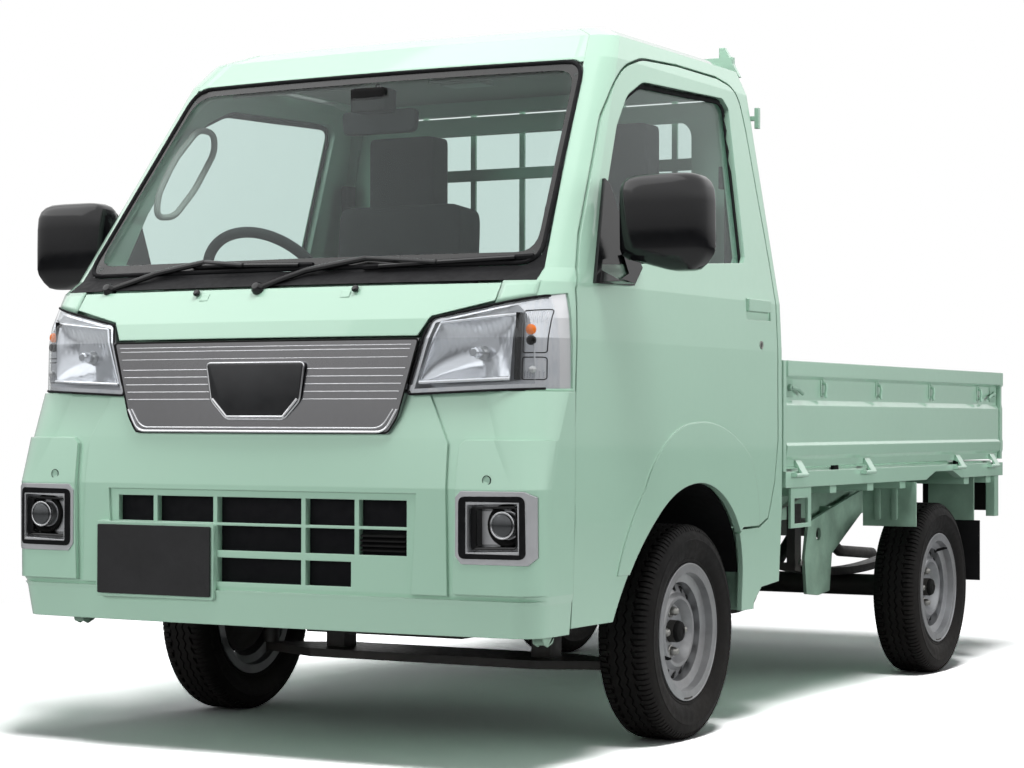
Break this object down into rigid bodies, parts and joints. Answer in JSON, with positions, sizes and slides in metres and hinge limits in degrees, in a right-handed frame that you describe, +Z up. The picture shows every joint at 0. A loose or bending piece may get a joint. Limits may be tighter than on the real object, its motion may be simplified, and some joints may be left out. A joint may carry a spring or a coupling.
{
  "type": "kei truck",
  "caption": "Small cab-over pickup with a two-seat cab, hinged doors, a drop-side load bed and steel disc wheels.",
  "frame": {"origin": "on the ground under the middle of the vehicle's box", "axes": "+Z up, -Y towards the front of the vehicle, +X towards its left side"},
  "size_m": [1.946, 3.395, 1.813],
  "materials": {
    "body_paint": "gloss mint green paint",
    "under_paint": "satin mint green paint",
    "dark_metal": "satin black",
    "wheel_paint": "silver paint",
    "cast_metal": "raw casting",
    "rubber": "matt black",
    "tyre": "matt black",
    "black_plastic": "grained black",
    "gloss_black": "gloss black",
    "dash_plastic": "grained dark grey",
    "chrome": "bright plating",
    "grille_plate": "smoked plating",
    "clear": "clear",
    "window_glass": "slightly green glass",
    "lamp_body": "silvered",
    "lamp_red": "red lens",
    "seat_fabric": "woven dark grey"
  },
  "bodies": {
    "truck": {"bed_floor": "body_paint", "bed_head_wall": "body_paint", "cab_floor": "under_paint", "cab_rear_wall": "body_paint", "cab_side_left": "body_paint", "cab_side_right": "body_paint", "chassis_frame": "under_paint", "cowl": "body_paint", "dashboard": "dash_plastic", "engine_block": "cast_metal", "fog_lamps": "chrome", "front_bumper": "body_paint", "front_lower_arms": "dark_metal", "front_plate_blank": "gloss_black", "front_wheel_liners": "black_plastic", "fuel_tank": "dark_metal", "grille": "grille_plate", "guard_frame": "body_paint", "headlamp_housings": "lamp_body", "headlamp_lenses": "clear", "leaf_springs": "dark_metal", "propeller_shaft": "dark_metal", "rear_axle": "dark_metal", "rear_flaps": "rubber", "rear_mudguards": "under_paint", "rear_window": "window_glass", "roof_panel": "body_paint", "seats": "seat_fabric", "steering_column": "dash_plastic", "strut_springs": "dark_metal", "tail_lamps": "lamp_red", "windscreen": "window_glass"},
    "door_left": {"door_left": "body_paint", "door_glass_left": "window_glass", "door_mirror_left": "gloss_black"},
    "door_right": {"door_right": "body_paint", "door_glass_right": "window_glass", "door_mirror_right": "gloss_black"},
    "hood": {"hood": "body_paint"},
    "side_gate_left": {"side_gate_left": "body_paint"},
    "side_gate_right": {"side_gate_right": "body_paint"},
    "tail_gate": {"tail_gate": "body_paint"},
    "steering_wheel": {"steering_wheel": "dash_plastic"},
    "knuckle_left": {"front_knuckle_left": "dark_metal"},
    "front_wheel_left": {"front_rim_left": "wheel_paint", "front_tyre_left": "tyre", "front_hub_left": "cast_metal"},
    "rear_wheel_left": {"rear_rim_left": "wheel_paint", "rear_tyre_left": "tyre", "rear_hub_left": "cast_metal"},
    "knuckle_right": {"front_knuckle_right": "dark_metal"},
    "front_wheel_right": {"front_rim_right": "wheel_paint", "front_tyre_right": "tyre", "front_hub_right": "cast_metal"},
    "rear_wheel_right": {"rear_rim_right": "wheel_paint", "rear_tyre_right": "tyre", "rear_hub_right": "cast_metal"}
  },
  "joints": [
    {"name": "steering", "type": "hinge", "parent": "truck", "child": "steering_wheel", "pos_m": [-0.33, -1.15, 1.13], "axis": [0, 0.788, 0.6157], "range_deg": [-540, 540]},
    {"name": "steer_left", "type": "hinge", "parent": "truck", "child": "knuckle_left", "pos_m": [0.54, -0.8275, 0.268], "axis": [0, 0, 1], "range_deg": [-33.75, 33.75]},
    {"name": "front_wheel_left_spin", "type": "hinge", "parent": "knuckle_left", "child": "front_wheel_left", "pos_m": [0.653, -0.8275, 0.268], "axis": [1, 0, 0], "continuous": true},
    {"name": "rear_wheel_left_spin", "type": "hinge", "parent": "truck", "child": "rear_wheel_left", "pos_m": [0.65, 1.0725, 0.268], "axis": [1, 0, 0], "continuous": true},
    {"name": "door_left_swing", "type": "hinge", "parent": "truck", "child": "door_left", "pos_m": [0.731, -1.475, 0.8], "axis": [0, 0, -1], "range_deg": [0, 65]},
    {"name": "side_gate_left_drop", "type": "hinge", "parent": "truck", "child": "side_gate_left", "pos_m": [0.741, 0.7, 0.646], "axis": [0, 1, 0], "range_deg": [0, 160]},
    {"name": "steer_right", "type": "hinge", "parent": "truck", "child": "knuckle_right", "pos_m": [-0.54, -0.8275, 0.268], "axis": [0, 0, 1], "range_deg": [-33.75, 33.75]},
    {"name": "front_wheel_right_spin", "type": "hinge", "parent": "knuckle_right", "child": "front_wheel_right", "pos_m": [-0.653, -0.8275, 0.268], "axis": [1, 0, 0], "continuous": true},
    {"name": "rear_wheel_right_spin", "type": "hinge", "parent": "truck", "child": "rear_wheel_right", "pos_m": [-0.65, 1.0725, 0.268], "axis": [1, 0, 0], "continuous": true},
    {"name": "door_right_swing", "type": "hinge", "parent": "truck", "child": "door_right", "pos_m": [-0.731, -1.475, 0.8], "axis": [0, 0, 1], "range_deg": [0, 65]},
    {"name": "side_gate_right_drop", "type": "hinge", "parent": "truck", "child": "side_gate_right", "pos_m": [-0.741, 0.7, 0.646], "axis": [0, -1, 0], "range_deg": [0, 160]},
    {"name": "tail_gate_drop", "type": "hinge", "parent": "truck", "child": "tail_gate", "pos_m": [0, 1.6915, 0.646], "axis": [-1, 0, 0], "range_deg": [0, 160]},
    {"name": "hood_lift", "type": "hinge", "parent": "truck", "child": "hood", "pos_m": [0, -1.596, 1.093], "axis": [-1, 0, 0], "range_deg": [0, 60]}
  ],
  "couplings": [
    {"joint": "steer_left", "follows": "steering", "ratio": 0.0625},
    {"joint": "steer_right", "follows": "steering", "ratio": 0.0625}
  ]
}
